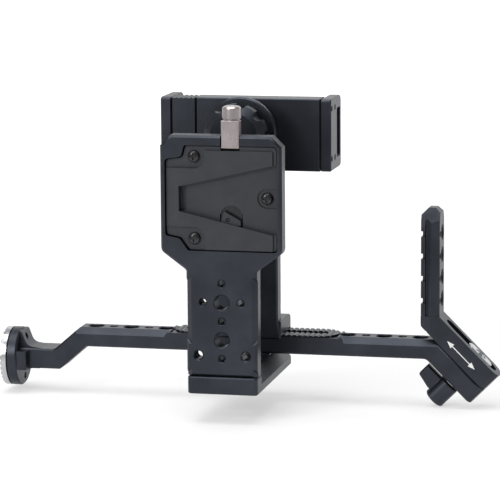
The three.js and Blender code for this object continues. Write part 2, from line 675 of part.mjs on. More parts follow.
function crossbar() {
  const side = extruded('y', crossbarOutline(), bar.front, middleBack, bar.edge);
  const plan = extruded('z', crossbarPlan(), -2 * bar.depth, 2 * bar.depth);
  const lowered = brick(middle.left + middle.step, middle.right - middle.step, bar.front - through,
    middleBack + through, middleTop, barTop + through);
  const slot = extruded('z', oblong(barSlot.left, barSlot.right, middleAxis, barSlot.width),
    barBottom - through, padTop + through);
  const r = rosette.radius;
  const boss = turned('x', [[0, rosetteFace], [r - 0.5, rosetteFace], [r, rosetteFace + 0.5],
    [r, leftArm.end - 0.8], [r - 0.8, leftArm.end], [0, leftArm.end]], [armAxis, rosetteAxis], 36);
  const deep = leftArm.end + bush.engaged + seat;
  const screws = rosetteScrewPlaces().map((place) => pin('x', rosetteScrew.bore, rosetteFace - through, deep,
    place, 16));
  const centre = pin('x', bush.outer + slip, rosetteFace - through, deep, [armAxis, rosetteAxis]);
  const clampBore = angled(pin('z', clampScrew.bore, plateUnder - through, leg.plateAt + through,
    [block.centre, armAxis]));
  const corners = endCorners(plateUnder, leg.plateAt, bar.depth);
  const beam = cut(side.intersect(plan), lowered, armChamfers(), corners);
  const whole = join(beam, serratedPad(), boss, rosetteBlend());
  return node('crossbar', cut(whole, slot, armHoles(), screws, centre, clampBore), anodised);
}

// ---------------------------------------------------------------- rosette
function rosetteScrewPlaces() {
  return bothSides((side) => [armAxis - side * rosetteScrew.lean, rosetteAxis + side * rosetteScrew.offset]);
}

function rosetteRing() {
  const r = rosette.radius;
  const landFace = ringFace + rosetteLand.depth;
  const body = turned('x', [[rosette.bore, landFace], [r * rosetteLand.inner, landFace],
    [r * rosetteLand.outer, ringFace], [r - 0.3, ringFace], [r, ringFace + 0.3], [r, rosetteFace - seat],
    [rosette.bore, rosetteFace - seat]], [armAxis, rosetteAxis], rosette.teeth);
  const half = Math.PI * r / rosette.teeth;
  const tooth = prism('y', [[-half * 0.92, -through * 0.2], [half * 0.92, -through * 0.2],
    [0, rosette.toothDepth]], 0, r + through).rotate([0, 90, 0]);
  const grooves = repeated(rosette.teeth, (i) => tooth.rotate([i * 360 / rosette.teeth, 0, 0])
    .translate([ringFace, armAxis, rosetteAxis]));
  const bores = rosetteScrewPlaces().map((place) => pin('x', rosetteScrew.shank + slip, ringFace - through,
    rosetteFace + through, place, 16));
  return node('rosette_ring', cut(body, grooves, bores), steel);
}

function rosetteScrews() {
  return rosetteScrewPlaces().map((place, i) => {
    const [y, z] = place;
    const headTop = leftArm.end - headSink;
    const shank = pin('x', rosetteScrew.shank, ringFace + 1.6, headTop - 1, place);
    const top = pin('x', rosetteScrew.head, headTop - rosetteScrew.headHeight, headTop, place);
    const slot = brick(headTop - 1, headTop + through, y - 0.5, y + 0.5, z - 1.3, z + 1.3);
    return node(`rosette_screw_${i + 1}`, cut(join(shank, top), slot), blackOxide);
  });
}

function rosetteBush() {
  const { outer, inner, chamfer } = bush;
  const face = ringFace - bush.proud;
  const end = leftArm.end + bush.engaged;
  return node('rosette_bush', turned('x', [[inner, face], [outer - chamfer, face], [outer, face + chamfer],
    [outer, end], [inner, end]], [armAxis, rosetteAxis], 24), steel);
}

// ---------------------------------------------------------------- rear post and lock wheel
function postOutline() {
  const w = post.halfWidth;
  const f = foot.half;
  const neck = post.pivotHeight - post.neck;
  const waist = footBottom + foot.flare + 6;
  const shape = new THREE.Shape();
  shape.moveTo(-f, footBottom);
  shape.lineTo(f, footBottom);
  shape.lineTo(f, footBottom + 1.5);
  shape.quadraticCurveTo(w - 0.4, footBottom + foot.flare * 0.6, w, waist);
  shape.lineTo(w, neck);
  shape.absarc(0, post.pivotHeight, post.topRadius, 0, Math.PI);
  shape.lineTo(-w, neck);
  shape.lineTo(-w, waist);
  shape.quadraticCurveTo(-w + 0.4, footBottom + foot.flare * 0.6, -f, footBottom + 1.5);
  return shape;
}

function rearPost() {
  const body = extruded('y', postOutline(), postFront, postBack, post.edge, 8);
  const f = foot.half;
  const front = postFront + post.edge;
  const block = extruded('x', outline([[front, footBottom], [footBack, footBottom],
    [footBack, footTop, foot.corner], [front, footTop]]), -f, f, 0.6);
  const channel = brick(-f - through, f + through, bar.front - seat, middleBack + seat,
    footBottom - through, padTop + seat);
  const threads = postScrewPlaces().map((place) => pin('z', postScrew.shank + slip, padTop,
    padTop + postScrew.engaged + 0.8, place));
  const axle = pin('y', pivot.radius + slip, postFront - through, postBack + through, [0, post.pivotHeight]);
  return node('rear_post', cut(join(body, block), channel, threads, axle), anodised);
}

function lockWheel() {
  const w = wheel;
  const hubEnd = postFront - seat;
  const gripEnd = w.front + w.gripDepth;
  const flangeEnd = flange.start + flange.thickness;
  const body = turned('y', [
    [0, w.front], [w.face - 0.6, w.front], [w.face, w.front + 0.6], [w.grip, w.front + w.lead],
    [w.grip, gripEnd - 1], [w.neck, gripEnd + 1.5], [w.neck, flange.start],
    [flange.radius - flange.chamfer, flange.start], [flange.radius, flange.start + flange.chamfer],
    [flange.radius, flangeEnd - flange.chamfer], [flange.radius - flange.chamfer, flangeEnd],
    [w.hub, flangeEnd], [w.hub, hubEnd], [0, hubEnd],
  ], [0, post.pivotHeight], 36);
  const bites = repeated(bite.count, (i) => {
    const angle = (i + 0.5) * 2 * Math.PI / bite.count + bite.turn;
    const reach = w.grip + bite.offset;
    return pin('y', bite.radius, w.front - through, gripEnd + 0.6,
      [reach * Math.cos(angle), post.pivotHeight + reach * Math.sin(angle)], 12);
  });
  const bore = pin('y', pivot.radius + slip, w.front + pivot.wheelDepth, hubEnd + through,
    [0, post.pivotHeight]);
  return node('lock_wheel', cut(body, bites, bore), anodised);
}

// ---------------------------------------------------------------- device clamp
function pivotBolt() {
  const centre = [0, post.pivotHeight];
  const top = clampBack - pivot.headDrop;
  const stem = pin('y', pivot.radius, wheel.front + pivot.wheelDepth + seat, top - 1, centre);
  const round = pin('y', pivot.headRadius, top - pivot.headHeight, top, centre, 32);
  const key = extruded('y', hexagon(centre, pivot.key), top - pivot.headHeight / 2, top + through);
  return node('pivot_bolt', cut(join(stem, round), key), blackOxide);
}

function rodPlaces() {
  return bothSides((side) => [clampFront + clamp.depth / 2, clampAxis + side * rod.spread / 2]);
}

function clampBody() {
  const centre = [0, post.pivotHeight];
  const body = extruded('y', rectangle(bodyLeft, bodyRight, clampBottom, clampTop), clampFront, clampBack,
    clamp.edge);
  const bores = rodPlaces().map((place) => pin('x', rod.radius + slip, bodyLeft - through,
    bodyLeft + rod.reach + 1, place));
  const axle = pin('y', pivot.radius + slip, clampFront - through, clampBack + through, centre);
  const sink = pin('y', pivot.headRadius + slip, clampBack - pivot.headDrop - pivot.headHeight - seat,
    clampBack + through, centre, 32);
  const threads = jawScrewPlaces().map((place) => pin('x', jawScrew.bore, bodyRight - jawScrew.reach,
    bodyRight + through, place));
  return node('clamp_body', cut(body, bores, axle, sink, threads), anodised);
}

function jawScrewPlaces() {
  const { low, high, front, rear } = jawScrewInset;
  const heights = [clampBottom + low, clampTop - high];
  return heights.flatMap((z) => [[clampFront + front, z], [clampFront + rear, z]]);
}

// The jaw's outer face is at `face` and looks along `outward`.
function jawPlate(name, face, outward) {
  const inner = face - outward * jaw.thickness;
  const [x0, x1] = outward > 0 ? [inner, face] : [face, inner];
  const back = clampFront + jaw.depth;
  const side = outline([[clampFront, clampBottom, 1.2], [back, clampBottom, jaw.corner],
    [back, clampTop, jaw.corner], [clampFront, clampTop, 2]]);
  const y = clampFront + jawSlot.centre;
  const window = rectangle(y - jawSlot.width / 2, y + jawSlot.width / 2, clampAxis - jawSlot.height / 2,
    clampAxis + jawSlot.height / 2, jawSlot.corner);
  const sinkDepth = jawScrew.headHeight + headSink;
  const bores = jawScrewPlaces().map((place) => join(
    pin('x', jawScrew.bore, x0 - through, x1 + through, place),
    pin('x', jawScrew.head + slip, face - outward * sinkDepth, face + outward * through, place),
  ));
  const body = extruded('x', side, x0, x1, jaw.edge);
  return node(name, cut(body, extruded('x', window, x0 - through, x1 + through), bores), anodised);
}

function jawScrews(prefix, face, outward, reach) {
  const top = face - outward * headSink;
  return jawScrewPlaces().map((place, i) => {
    const [y, z] = place;
    const round = pin('x', jawScrew.head, top - outward * (jawScrew.headHeight - seat), top, place);
    const shank = pin('x', jawScrew.shank, face - outward * reach, top - outward, place);
    const key = brick(top - outward * 0.9, top + outward * through, y - jawScrew.key, y + jawScrew.key,
      z - jawScrew.key, z + jawScrew.key);
    return node(`${prefix}_${i + 1}`, cut(join(round, shank), key), blackOxide);
  });
}

// The rubber the held device rests on, with a hole over the pivot bolt's head.
function deviceRest() {
  const y = clampBack + seat;
  const face = rectangle(bodyLeft + restPad.inset, bodyRight - restPad.inset, clampAxis - restPad.half,
    clampAxis + restPad.half, restPad.corner);
  const hole = pin('y', pivot.headRadius + 1, y - through, y + restPad.thickness + through,
    [0, post.pivotHeight], 32);
  return node('device_rest', cut(extruded('y', face, y, y + restPad.thickness, restPad.edge), hole), rubber);
}

function jawSlider() {
  const body = extruded('y', rectangle(sliderLeft, sliderRight, clampBottom, clampTop), clampFront, clampBack,
    clamp.edge);
  const centre = (sliderLeft + sliderRight) / 2;
  const flutes = repeated(grip.ridges, (i) => {
    const x = centre + (i - (grip.ridges - 1) / 2) * grip.pitch;
    const out = grip.radius - grip.depth;
    return [clampTop + out, clampBottom - out].map((z) => pin('y', grip.radius, clampFront - through,
      clampBack + through, [x, z]));
  });
  const rods = rodPlaces().map((place) => pin('x', rod.radius + slip, sliderLeft + rod.socket,
    sliderRight + through, place));
  const depth = jawScrew.shortReach - jaw.thickness;
  const threads = jawScrewPlaces().map((place) => pin('x', jawScrew.bore, sliderLeft - through,
    sliderLeft + depth, place));
  return node('jaw_slider', cut(body, flutes.flat(), rods, threads), anodised);
}

function guideRods() {
  const left = sliderLeft + rod.socket + seat;
  const right = sliderRight + rod.reach;
  return rodPlaces().map((place, i) => node(`guide_rod_${i + 1}`, turned('x', [[0, left], [rod.radius, left],
    [rod.radius, right - 0.6], [rod.radius - 0.6, right], [0, right]], place, 20), steel));
}

// ---------------------------------------------------------------- side bracket
// The rail's section: a flange towards the clamp, a groove, a ridge and sides that taper to the back.
function railSection() {
  const { thickness, half: flangeHalf } = flangeSize;
  const half = [
    [0, flangeHalf - 0.6], [0.6, flangeHalf], [thickness - 0.3, flangeHalf], [thickness, neckSize.half],
    [thickness + neckSize.thickness, neckSize.half], [ridgeSize.at, ridgeSize.half],
    [rail.right - rail.left, ridgeSize.backHalf],
  ];
  const front = half.map(([x, w]) => [rail.left + x, armAxis - w]);
  const back = half.map(([x, w]) => [rail.left + x, armAxis + w]).reverse();
  return outline([...front, ...back]);
}

function railBevels() {
  const reach = ridgeSize.half + through;
  const low = rail.height - rail.bevel * 1.5 - 2.5;
  const sides = bothSides((side) => prism('x', [[armAxis + side * reach, low],
    [armAxis + side * reach, rail.height + 1],
    [armAxis + side * (ridgeSize.half - rail.bevel - 0.7), rail.height + 1]], rail.left - through,
  rail.right + through));
  const lead = (x, outward, size) => prism('y', [
    [x + outward, rail.height - size - 1], [x - outward * (size + 1), rail.height + 1],
    [x + outward, rail.height + 1],
  ], armAxis - reach, armAxis + reach);
  return [...sides, lead(rail.left, -1, rail.lead), lead(rail.right, 1, rail.backLead)];
}

// Cross slots in the flange: full depth at both of its edges, shallow across its face.
function railSlots() {
  const reach = ridgeSize.half + through;
  const kept = flangeSize.half - railSlot.cut;
  return repeated(railSlot.count, (i) => {
    const z = railSlot.first - i * railSlot.pitch;
    const half = railSlot.height / 2;
    const core = brick(rail.left + railSlot.depth, rail.left + 8, armAxis - kept, armAxis + kept,
      z - half - through, z + half + through);
    return brick(rail.left - through, rail.left + flangeSize.thickness - 0.3, armAxis - reach,
      armAxis + reach, z - half, z + half).subtract(core);
  });
}

function railHoles() {
  return repeated(railSlot.count, (i) => {
    const z = railSlot.first - i * railSlot.pitch;
    return [
      countersunk('x', railHole.large, rail.left - through, rail.right + through,
        [armAxis + railHole.largeShift, z], rail.right, 1, railHole.mouth),
      pin('x', railHole.small, rail.right - railHole.smallDepth, rail.right + through,
        [armAxis + railHole.smallShift, z]),
    ];
  });
}

function bracketLeg() {
  const side = prism('y', [
    [rail.left, slopeAt(legTop, rail.right)], [rail.left, slopeAt(legUnder, rail.left) + 1.2, 2],
    level(leg.knee, legUnder), level(leg.end, legUnder), level(leg.end, legTop),
    [rail.right, slopeAt(legTop, rail.right)],
  ], armAxis - leg.depth / 2, armAxis + leg.depth / 2);
  return cut(side, endCorners(legUnder, legTop, leg.depth));
}

function sideBracket() {
  const limb = cut(extruded('z', railSection(), slopeAt(legUnder, rail.left) - 4, rail.height), railBevels(),
    railSlots(), railHoles().flat());
  const below = angled(brick(0, 2 * leg.end, 0, 2 * base.depth, -leg.end, legUnder));
  const slot = (width, from, to) => angled(extruded('z', oblong(legSlot.start, legSlot.end, armAxis, width),
    from, to));
  return node('side_bracket', cut(join(bracketLeg(), limb), below,
    slot(legSlot.stepWidth, legUnder - 2, legTop + 2), slot(legSlot.width, legStep, legTop + 2)), anodised);
}

function slotBlock() {
  const half = block.length / 2;
  const place = [block.centre, armAxis];
  const shape = oblong(block.centre - half, block.centre + half, armAxis, legSlot.width - 2 * slip);
  const body = extruded('z', shape, blockTop - block.thickness, blockTop, block.edge, 10);
  const sink = pin('z', clampScrew.head + slip, blockTop - clampScrew.headDepth, blockTop + through, place);
  const bore = pin('z', clampScrew.bore, legStep - through, blockTop + through, place);
  return node('slot_block', angled(cut(body, sink, bore)), steel);
}

function clampScrewBody() {
  const top = blockTop - headSink;
  const under = blockTop - clampScrew.headDepth + seat;
  const place = [block.centre, armAxis];
  const round = pin('z', clampScrew.head, under, top, place);
  const shank = pin('z', clampScrew.shank, knob.bottom + knob.bore + seat, under + 1, place);
  const key = extruded('z', hexagon(place, clampScrew.key), top - 1.5, top + through);
  return node('clamp_screw', angled(cut(join(round, shank), key)), steel);
}

function wingKnob() {
  const place = [block.centre, armAxis];
  const r = knob.radius;
  const hub = turned('z', [[0, knob.bottom], [r - 0.8, knob.bottom], [r, knob.bottom + 0.8],
    [r, knobTop - 0.6], [r - 0.6, knobTop], [0, knobTop]], place, 32);
  const low = knobTop - knob.wingDrop;
  const tip = block.centre - knob.reach;
  const outlineOfWing = outline([[tip, knobTop - 1], [tip, low, 1.6], [block.centre - r - 1.5, low - 1.8],
    [block.centre, low - 1.8], [block.centre, knobTop - 1]]);
  const wing = extruded('y', outlineOfWing, armAxis - knob.wing / 2, armAxis + knob.wing / 2, knob.wingEdge);
  const bore = pin('z', clampScrew.bore, knob.bottom + knob.bore, knobTop + through, place);
  return node('wing_knob', angled(cut(join(hub, wing), bore)), anodised);
}

function knobWasher() {
  const low = washerTop - washer.thickness;
  const ring = turned('z', [[clampScrew.bore, low], [washer.radius, low], [washer.radius, washerTop],
    [clampScrew.bore, washerTop]], [block.centre, armAxis], 24);
  return node('knob_washer', angled(ring), steel);
}

// ---------------------------------------------------------------- assembly
function group(name, ...parts) {
  const whole = new THREE.Group();
  whole.name = name;
  whole.add(...parts.flat());
  return whole;
}

const frame = group('frame', basePlate(), batteryBracket(), batteryPlate(), plateScrews(), releaseSpring(),
  bracketScrewPlaces().map((place, i) => socketScrew(`bracket_screw_${i + 1}`, place, bracketScrew,
    columnBottom + bracketScrew.engaged)),
  rearPost(),
  postScrewPlaces().map((place, i) => socketScrew(`post_screw_${i + 1}`, place, postScrew,
    padTop + postScrew.engaged)));

const release = group('release', releaseButton(), batteryLatch(), latchPin());

const slider = group('slider', crossbar(), rosetteRing(), rosetteScrews(), rosetteBush(), slotBlock(),
  clampScrewBody(), knobWasher());

const device = group('device_clamp', clampBody(), pivotBolt(), deviceRest(),
  jawPlate('right_jaw', clamp.right, 1), jawScrews('right_jaw_screw', clamp.right, 1, jawScrew.reach));

const movingJaw = group('moving_jaw', jawPlate('left_jaw', clamp.left, -1), jawSlider(), guideRods(),
  jawScrews('left_jaw_screw', clamp.left, -1, jawScrew.shortReach));

const rig = group('camera_rig', frame, release, slider, device, movingJaw, sideBracket(), wingKnob(),
  lockWheel());
rig.position.set(0, -base.depth / 2, 0);

export default rig;
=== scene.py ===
"""Looks for the camera rig: edges, finishes, a printed mark, floor, light and camera."""

import json
import math

import bmesh
import bpy
from mathutils import Matrix, Vector


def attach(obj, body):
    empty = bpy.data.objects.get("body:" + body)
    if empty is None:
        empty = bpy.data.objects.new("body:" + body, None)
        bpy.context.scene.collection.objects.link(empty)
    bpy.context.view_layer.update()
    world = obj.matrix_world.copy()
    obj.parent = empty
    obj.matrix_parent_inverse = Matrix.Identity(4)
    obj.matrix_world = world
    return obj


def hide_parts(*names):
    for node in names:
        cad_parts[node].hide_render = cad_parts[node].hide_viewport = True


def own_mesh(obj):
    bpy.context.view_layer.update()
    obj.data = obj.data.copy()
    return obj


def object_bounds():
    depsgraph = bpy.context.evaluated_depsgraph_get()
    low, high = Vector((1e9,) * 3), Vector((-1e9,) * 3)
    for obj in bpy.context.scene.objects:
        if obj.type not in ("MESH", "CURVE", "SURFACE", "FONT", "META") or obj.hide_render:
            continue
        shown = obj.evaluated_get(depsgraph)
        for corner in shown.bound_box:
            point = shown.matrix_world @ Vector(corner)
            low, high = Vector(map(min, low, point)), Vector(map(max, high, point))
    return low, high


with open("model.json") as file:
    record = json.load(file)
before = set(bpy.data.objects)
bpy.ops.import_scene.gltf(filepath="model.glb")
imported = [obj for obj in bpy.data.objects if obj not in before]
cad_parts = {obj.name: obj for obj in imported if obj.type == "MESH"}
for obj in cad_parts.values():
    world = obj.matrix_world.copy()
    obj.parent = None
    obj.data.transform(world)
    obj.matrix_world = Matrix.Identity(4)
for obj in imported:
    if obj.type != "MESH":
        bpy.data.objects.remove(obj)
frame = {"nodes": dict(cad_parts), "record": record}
cad_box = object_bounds()

bl_info = {
    "name": "Camera Rig Finisher",
    "version": (1, 0, 0),
    "blender": (4, 5, 0),
    "location": "View3D > Sidebar > Camera Rig",
    "description": "Rounds the machined edges of a camera rig, finishes its metals and sets the studio",
    "category": "Object",
}

MM = 0.001
WELD_MM = 0.002  # points of a CAD mesh closer than this are one point
FLAT_ANGLE = math.radians(0.6)  # triangles that turn less than this join into one flat face
SHARP_ANGLE = math.radians(33)  # edges that turn more than this are rounded, and stay crisp in the shading
AREA_WEIGHT = 80  # how strongly large faces hold the shading flat beside a rounded edge
TONE_STOPS = (0.35, 0.68)  # where the soft patches turn from the dark tone to the light one
GRAIN_STOPS = (0.3, 0.7)  # the part of the grain noise that moves the roughness
BUTTON_SHADE_TOP_MM = 131.7  # below this the button's steel gets the black oxide finish, as painted shade inside the plate
INK_MM = 0.03  # thickness of the printed ink
SENSOR_MM = 36
CLIP_END = 50  # metres, past the far wall of the paper sweep

SLOT_OF = {part["node"]: part["material_slot"] for part in frame["record"]["subparts"]}
BODY_OF = {node: body for body, nodes in frame["record"]["behaviour"]["bodies"].items()
           for node in nodes}


# ---------------------------------------------------------------- colour and nodes
def linear(hex_colour):
    """An sRGB hex colour such as '3e4048' as linear red, green, blue and alpha."""
    channels = [int(hex_colour[i:i + 2], 16) / 255 for i in (0, 2, 4)]
    return [c / 12.92 if c <= 0.04045 else ((c + 0.055) / 1.055) ** 2.4 for c in channels] + [1.0]


def add(tree, kind, inputs=None, **settings):
    """Adds one node; inputs maps a socket to its value or to the output that feeds it."""
    node = tree.nodes.new(kind)
    for name, value in settings.items():
        setattr(node, name, value)
    for name, value in (inputs or {}).items():
        if isinstance(value, bpy.types.NodeSocket):
            tree.links.new(value, node.inputs[name])
        else:
            node.inputs[name].default_value = value
    return node


def per_metre(size_mm):
    """The noise scale that repeats once in so many millimetres."""
    return 1 / (size_mm * MM)


def finish(name, dark, light, metallic, roughness, spread, grain_mm, grain_depth_mm, patch_mm=18,
           stretch=(1, 1, 1), **shader_values):
    """A surface with two close tones in soft patches, a fine grain and a roughness that follows it."""
    material = bpy.data.materials.new(name)
    material.use_nodes = True
    tree = material.node_tree
    tree.nodes.clear()
    place = add(tree, "ShaderNodeTexCoord").outputs["Object"]
    along = add(tree, "ShaderNodeMapping", {"Vector": place, "Scale": stretch}).outputs["Vector"]
    patches = add(tree, "ShaderNodeTexNoise", {"Vector": place, "Scale": per_metre(patch_mm), "Detail": 3.0})
    grain = add(tree, "ShaderNodeTexNoise", {"Vector": along, "Scale": per_metre(grain_mm), "Detail": 2.0})
    tone = add(tree, "ShaderNodeValToRGB", {"Fac": patches.outputs["Fac"]})
    for element, position, colour in zip(tone.color_ramp.elements, TONE_STOPS, (dark, light)):
        element.position = position
        element.color = linear(colour)
    rough = add(tree, "ShaderNodeMapRange", {
        "Value": grain.outputs["Fac"], "From Min": GRAIN_STOPS[0], "From Max": GRAIN_STOPS[1],
        "To Min": roughness - spread, "To Max": roughness + spread})
    bump = add(tree, "ShaderNodeBump", {"Height": grain.outputs["Fac"], "Strength": 1.0,
                                        "Distance": grain_depth_mm * MM})
    shader = add(tree, "ShaderNodeBsdfPrincipled", {
        "Base Color": tone.outputs["Color"], "Roughness": rough.outputs["Result"], "Metallic": metallic,
        "Normal": bump.outputs["Normal"], **shader_values})
    add(tree, "ShaderNodeOutputMaterial", {"Surface": shader.outputs["BSDF"]})
    return material


def make_finishes(settings):
    """The rig's finishes by material slot."""
    return {
        # Blasting leaves a grit of about 0.1 mm, drawn at 0.35 mm so that it shows; the oxide dulls it.
        "anodised_aluminium": finish("bead_blasted_anodised_aluminium", settings.anodised_dark,
                                     settings.anodised_light, 0.9, 0.40, 0.05, 0.35, 0.006),
        # The mould's spark texture is about 0.2 mm across, drawn at 0.4 mm; glass fibre greys it a little.
        "moulded_nylon": finish("moulded_glass_filled_nylon", "1c2027", "24282f", 0.0, 0.46, 0.06, 0.4, 0.012,
                                patch_mm=9, IOR=1.53),
        # Turning leaves fine rings that only blur the reflection at this size.
        "bright_steel": finish("turned_bright_steel", "a9aaad", "c4c5c8", 1.0, 0.28, 0.06, 0.5, 0.003),
        # Brushed along its length, so the grain is drawn out in z.
        "button_steel": finish("brushed_stainless_steel", "9c9393", "b8b0b0", 1.0, 0.34, 0.08, 0.4, 0.004,
                               stretch=(1, 1, 0.06)),
        # Black oxide is thin and shows the steel's gloss.
        "black_steel": finish("black_oxide_steel", "39393c", "444447", 0.9, 0.27, 0.05, 0.5, 0.003),
        # Moulded rubber is matt with a skin of fine pits.
        "rubber_pad": finish("moulded_rubber", "161617", "1f1f20", 0.0, 0.78, 0.06, 0.3, 0.015, IOR=1.52),
    }


finishes = {}


def slot_material(slot):
    """The finish of a material slot, made once."""
    if not finishes:
        finishes.update(make_finishes(bpy.context.scene.rig_finish))
    return finishes[slot]


# ---------------------------------------------------------------- shapes from the frame
def rounded(node, width_mm, segments=2):
    """A copy of a CAD node with flat faces made whole, sharp edges rounded and shading set by area."""
    cad = frame["nodes"][node]
    shape = bmesh.new()
    shape.from_mesh(cad.data)
    bmesh.ops.remove_doubles(shape, verts=shape.verts, dist=WELD_MM * MM)
    bmesh.ops.dissolve_limit(shape, angle_limit=FLAT_ANGLE, verts=shape.verts, edges=shape.edges)
    for edge in shape.edges:
        edge.smooth = edge.calc_face_angle(0) < SHARP_ANGLE
    for face in shape.faces:
        face.smooth = True
    mesh = bpy.data.meshes.new(node + "_finished")
    shape.to_mesh(mesh)
    shape.free()
    piece = bpy.data.objects.new(node + "_finished", mesh)
    bpy.context.scene.collection.objects.link(piece)
    if width_mm > 0:
        edge_round = piece.modifiers.new("edge_round", "BEVEL")
        edge_round.width = width_mm * MM
        edge_round.segments = segments
        edge_round.limit_method = "ANGLE"
        edge_round.angle_limit = SHARP_ANGLE
        edge_round.use_clamp_overlap = True
        edge_round.miter_outer = "MITER_ARC"
    shading = piece.modifiers.new("shading", "WEIGHTED_NORMAL")
    shading.keep_sharp = True
    shading.weight = AREA_WEIGHT
    mesh.materials.append(slot_material(SLOT_OF[node]))
    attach(piece, BODY_OF[node])
    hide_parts(node)
    return piece


def rounded_all(nodes, width_mm):
    """Rounds each of the nodes alike."""
    for node in nodes:
        rounded(node, width_mm)


def paint_shade_below(piece, height_mm):
    """Gives the faces of a steel piece below a height the black oxide finish, as painted shade inside the
    plate.
    """
    piece.data.materials.append(slot_material("black_steel"))
    for face in piece.data.polygons:
        if face.center.z < height_mm * MM:
            face.material_index = 1


# ---------------------------------------------------------------- operators
class RigFinish(bpy.types.PropertyGroup):
    """Edge sizes and colours a user would change."""

    machined_edge: bpy.props.FloatProperty(
        name="Machined edge", description="Rounding of milled edges in millimetres", default=0.30,
        min=0, max=1)
    moulded_edge: bpy.props.FloatProperty(
        name="Moulded edge", description="Rounding of moulded edges in millimetres", default=0.40,
        min=0, max=1)
    small_edge: bpy.props.FloatProperty(
        name="Small edge", description="Rounding of screws, rods, rings and the latch in millimetres",
        default=0.12, min=0, max=0.5)
    anodised_dark: bpy.props.StringProperty(
        name="Anodised, dark", description="Darker tone of the anodised metal, sRGB hex",
        default="33363c")
    anodised_light: bpy.props.StringProperty(
        name="Anodised, light", description="Lighter tone of the anodised metal, sRGB hex",
        default="3c3f46")


class RigStudio(bpy.types.PropertyGroup):
    """Camera and light sizes a user would change."""

    lens: bpy.props.FloatProperty(
        name="Lens", description="Focal length in millimetres", default=201.6, min=20)
    yaw: bpy.props.FloatProperty(
        name="Yaw", description="Camera direction, turned left from +Y", default=math.radians(12.8),
        subtype="ANGLE")
    pitch: bpy.props.FloatProperty(
        name="Pitch", description="How far the camera looks down", default=math.radians(9.25),
        subtype="ANGLE")
    roll: bpy.props.FloatProperty(
        name="Roll", description="Camera roll", default=math.radians(-0.40), subtype="ANGLE")
    place: bpy.props.FloatVectorProperty(
        name="Place", description="Camera place", default=(0.3343, -1.4470, 0.3121),
        subtype="TRANSLATION", unit="LENGTH")
    sky: bpy.props.FloatProperty(name="Sky", description="Strength of the even light", default=0.34, min=0)
    floor_glow: bpy.props.FloatProperty(
        name="Floor glow", description="Light that comes through the paper under the rig",
        default=0.5, min=0)
    wall_glow: bpy.props.FloatProperty(
        name="Wall glow", description="Light that comes through the paper behind the rig",
        default=0.92, min=0)
    top_power: bpy.props.FloatProperty(
        name="Top light", description="Power of the light overhead", default=9, min=0, unit="POWER")
    front_power: bpy.props.FloatProperty(
        name="Front light", description="Power of the light at the front left", default=6.0, min=0,
        unit="POWER")
    floor_tone: bpy.props.StringProperty(
        name="Floor tone", description="Paper colour, sRGB hex", default="bababa")


class RIG_OT_base_and_bracket(bpy.types.Operator):
    """Finish the base plate, the battery bracket and their screws"""

    bl_idname = "rig.base_and_bracket"
    bl_label = "Base and bracket"

    def execute(self, context):
        sizes = context.scene.rig_finish
        rounded_all(("base_plate", "battery_bracket"), sizes.machined_edge)
        rounded_all(("bracket_screw_1", "bracket_screw_2", "post_screw_1", "post_screw_2"), sizes.small_edge)
        return {"FINISHED"}


class RIG_OT_battery_plate(bpy.types.Operator):
    """Finish the battery plate with its screws, latch and release button"""

    bl_idname = "rig.battery_plate"
    bl_label = "Battery plate"

    def execute(self, context):
        sizes = context.scene.rig_finish
        rounded("battery_plate", sizes.moulded_edge, segments=3)
        rounded("battery_latch", sizes.small_edge)
        button = rounded("release_button", sizes.machined_edge)
        # The button's steel below the plate's face gets the black oxide finish as painted shade.
        paint_shade_below(button, BUTTON_SHADE_TOP_MM)
        rounded_all([f"battery_plate_screw_{i}" for i in (1, 2, 3)], sizes.small_edge)
        rounded("latch_pin", 0)
        spring = rounded("release_spring", 0)
        # Its lower end stands in the plate at 76.7 mm, and 73% of its 11.2 mm is left when pressed.
        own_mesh(spring)
        return {"FINISHED"}


class RIG_OT_crossbar(bpy.types.Operator):
    """Finish the crossbar and the toothed rosette on its left end"""

    bl_idname = "rig.crossbar"
    bl_label = "Crossbar and rosette"

    def execute(self, context):
        sizes = context.scene.rig_finish
        rounded("crossbar", sizes.machined_edge)
        rounded_all(("rosette_ring", "rosette_bush", "rosette_screw_1", "rosette_screw_2"),
                    sizes.small_edge)
        return {"FINISHED"}


class RIG_OT_post_and_wheel(bpy.types.Operator):
    """Finish the rear post, the lock wheel and the bolt they share"""

    bl_idname = "rig.post_and_wheel"
    bl_label = "Rear post and lock wheel"

    def execute(self, context):
        sizes = context.scene.rig_finish
        rounded_all(("rear_post", "lock_wheel"), sizes.machined_edge)
        rounded("pivot_bolt", sizes.small_edge)
        return {"FINISHED"}


class RIG_OT_device_clamp(bpy.types.Operator):
    """Finish the clamp body, both jaws, the slider, its rods and the jaw screws"""

    bl_idname = "rig.device_clamp"
    bl_label = "Device clamp"

    def execute(self, context):
        sizes = context.scene.rig_finish
        rounded_all(("clamp_body", "left_jaw", "right_jaw", "jaw_slider"), sizes.machined_edge)
        rounded("device_rest", sizes.moulded_edge)
        rounded_all(("guide_rod_1", "guide_rod_2"), sizes.small_edge)
        rounded_all([f"{side}_jaw_screw_{i}" for side in ("left", "right") for i in (1, 2, 3, 4)],
                    sizes.small_edge)
        return {"FINISHED"}


class RIG_OT_side_bracket(bpy.types.Operator):
    """Finish the rail bracket, its slot block, clamp screw, washer and wing knob, and mark its travel"""

    bl_idname = "rig.side_bracket"
    bl_label = "Rail bracket"

    def execute(self, context):
        sizes = context.scene.rig_finish
        rounded_all(("side_bracket", "wing_knob"), sizes.machined_edge)
        rounded_all(("slot_block", "clamp_screw", "knob_washer"), sizes.small_edge)
        travel_mark()
        return {"FINISHED"}


